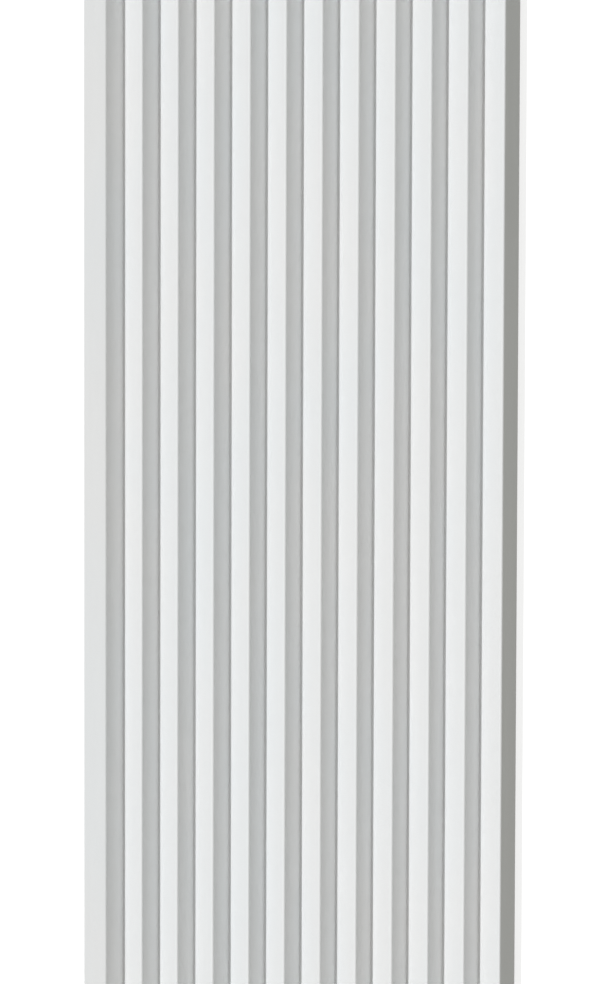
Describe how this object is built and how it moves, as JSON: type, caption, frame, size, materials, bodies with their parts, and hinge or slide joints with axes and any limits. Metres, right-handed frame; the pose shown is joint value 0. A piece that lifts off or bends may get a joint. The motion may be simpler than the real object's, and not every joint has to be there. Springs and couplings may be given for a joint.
{
  "type": "ridged wall panel",
  "caption": "Long wall panel with parallel saw-tooth ridges along its whole length, V grooves between them, a square shoulder on one side and a flat back.",
  "frame": {"origin": "middle of the flat back face, which is the face that the panel lies on", "axes": "+X across the ridges, from the square shoulder to the plate edge; +Y along the ridges; +Z out of the ridged face"},
  "size_m": [0.25, 2, 0.018],
  "materials": {
    "panel": "white primed surface, matt to satin"
  },
  "bodies": {
    "root": {"ridged_panel": "panel"}
  },
  "joints": []
}
